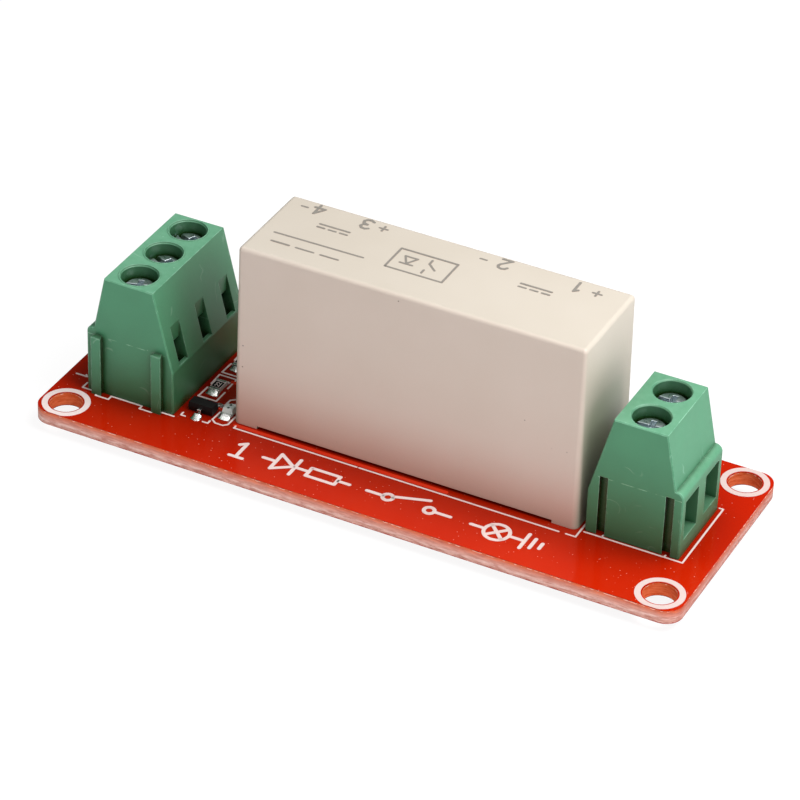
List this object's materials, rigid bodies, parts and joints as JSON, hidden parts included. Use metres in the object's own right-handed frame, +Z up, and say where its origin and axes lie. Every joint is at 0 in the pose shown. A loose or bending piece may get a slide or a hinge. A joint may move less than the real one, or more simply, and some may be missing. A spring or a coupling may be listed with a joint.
{
  "type": "relay module board",
  "caption": "Red circuit board with a tall cream relay between green screw terminals, small surface parts and corner mounting holes.",
  "frame": {"origin": "centre of the four mounting holes, on the underside of the board", "axes": "+X along the board from the input terminal to the output terminal, +Y across it, away from the printed front edge, +Z up out of the component side"},
  "size_m": [0.0736, 0.0266, 0.0242],
  "materials": {
    "board": "gloss red solder mask on glass-epoxy",
    "terminal_green": "satin moulded polyamide",
    "relay_case": "fine matt moulded polyester",
    "potting": "poured black resin",
    "inner_card": "green solder mask",
    "chip_black": "moulded black epoxy",
    "tinned": "tin-plated brass",
    "ceramic": "fired alumina or white laminate",
    "clear_resin": "clear moulded epoxy",
    "solder": "bright tin solder",
    "zinc_steel": "blue-passivated zinc on steel",
    "cage_steel": "zinc-plated pressed steel"
  },
  "bodies": {
    "board": {"circuit_board": "board", "input_terminal_housing": "terminal_green", "output_terminal_housing": "terminal_green", "relay_case": "relay_case", "relay_potting": "potting", "relay_card": "inner_card", "relay_optocoupler": "chip_black", "relay_power_transistor": "chip_black", "transistor_body": "chip_black", "transistor_leads": "tinned", "chip_resistor_1": "ceramic", "chip_resistor_1_caps": "tinned", "chip_resistor_2": "ceramic", "chip_resistor_2_caps": "tinned", "indicator_base": "ceramic", "indicator_caps": "tinned", "indicator_lens": "clear_resin", "small_part_solder": "solder", "terminal_solder_joints": "solder", "relay_solder_joints": "solder", "relay_pin_1": "tinned", "relay_pin_2": "tinned", "relay_pin_3": "tinned", "relay_pin_4": "tinned", "terminal_contact_1": "tinned", "terminal_contact_2": "tinned", "terminal_contact_3": "tinned", "terminal_contact_4": "tinned", "terminal_contact_5": "tinned"},
    "screw_1": {"terminal_screw_1": "zinc_steel"},
    "cage_1": {"clamp_cage_1": "cage_steel"},
    "screw_2": {"terminal_screw_2": "zinc_steel"},
    "cage_2": {"clamp_cage_2": "cage_steel"},
    "screw_3": {"terminal_screw_3": "zinc_steel"},
    "cage_3": {"clamp_cage_3": "cage_steel"},
    "screw_4": {"terminal_screw_4": "zinc_steel"},
    "cage_4": {"clamp_cage_4": "cage_steel"},
    "screw_5": {"terminal_screw_5": "zinc_steel"},
    "cage_5": {"clamp_cage_5": "cage_steel"}
  },
  "joints": [
    {"name": "screw_turn_1", "type": "hinge", "parent": "board", "child": "screw_1", "pos_m": [-0.02839, -0.00498, 0.0146], "axis": [0, 0, -1], "range_deg": [0, 2001]},
    {"name": "cage_rise_1", "type": "slide", "parent": "board", "child": "cage_1", "axis": [0, 0, 1], "range_m": [0, 0.0025]},
    {"name": "screw_turn_2", "type": "hinge", "parent": "board", "child": "screw_2", "pos_m": [-0.02839, 0.0001, 0.0146], "axis": [0, 0, -1], "range_deg": [0, 2001]},
    {"name": "cage_rise_2", "type": "slide", "parent": "board", "child": "cage_2", "axis": [0, 0, 1], "range_m": [0, 0.0025]},
    {"name": "screw_turn_3", "type": "hinge", "parent": "board", "child": "screw_3", "pos_m": [-0.02839, 0.00518, 0.0146], "axis": [0, 0, -1], "range_deg": [0, 2001]},
    {"name": "cage_rise_3", "type": "slide", "parent": "board", "child": "cage_3", "axis": [0, 0, 1], "range_m": [0, 0.0025]},
    {"name": "screw_turn_4", "type": "hinge", "parent": "board", "child": "screw_4", "pos_m": [0.02839, -0.00244, 0.0146], "axis": [0, 0, -1], "range_deg": [0, 2001]},
    {"name": "cage_rise_4", "type": "slide", "parent": "board", "child": "cage_4", "axis": [0, 0, 1], "range_m": [0, 0.0025]},
    {"name": "screw_turn_5", "type": "hinge", "parent": "board", "child": "screw_5", "pos_m": [0.02839, 0.00264, 0.0146], "axis": [0, 0, -1], "range_deg": [0, 2001]},
    {"name": "cage_rise_5", "type": "slide", "parent": "board", "child": "cage_5", "axis": [0, 0, 1], "range_m": [0, 0.0025]}
  ],
  "couplings": [
    {"joint": "screw_turn_1", "follows": "cage_rise_1", "rad_per_m": 13963},
    {"joint": "screw_turn_2", "follows": "cage_rise_2", "rad_per_m": 13963},
    {"joint": "screw_turn_3", "follows": "cage_rise_3", "rad_per_m": 13963},
    {"joint": "screw_turn_4", "follows": "cage_rise_4", "rad_per_m": 13963},
    {"joint": "screw_turn_5", "follows": "cage_rise_5", "rad_per_m": 13963}
  ]
}
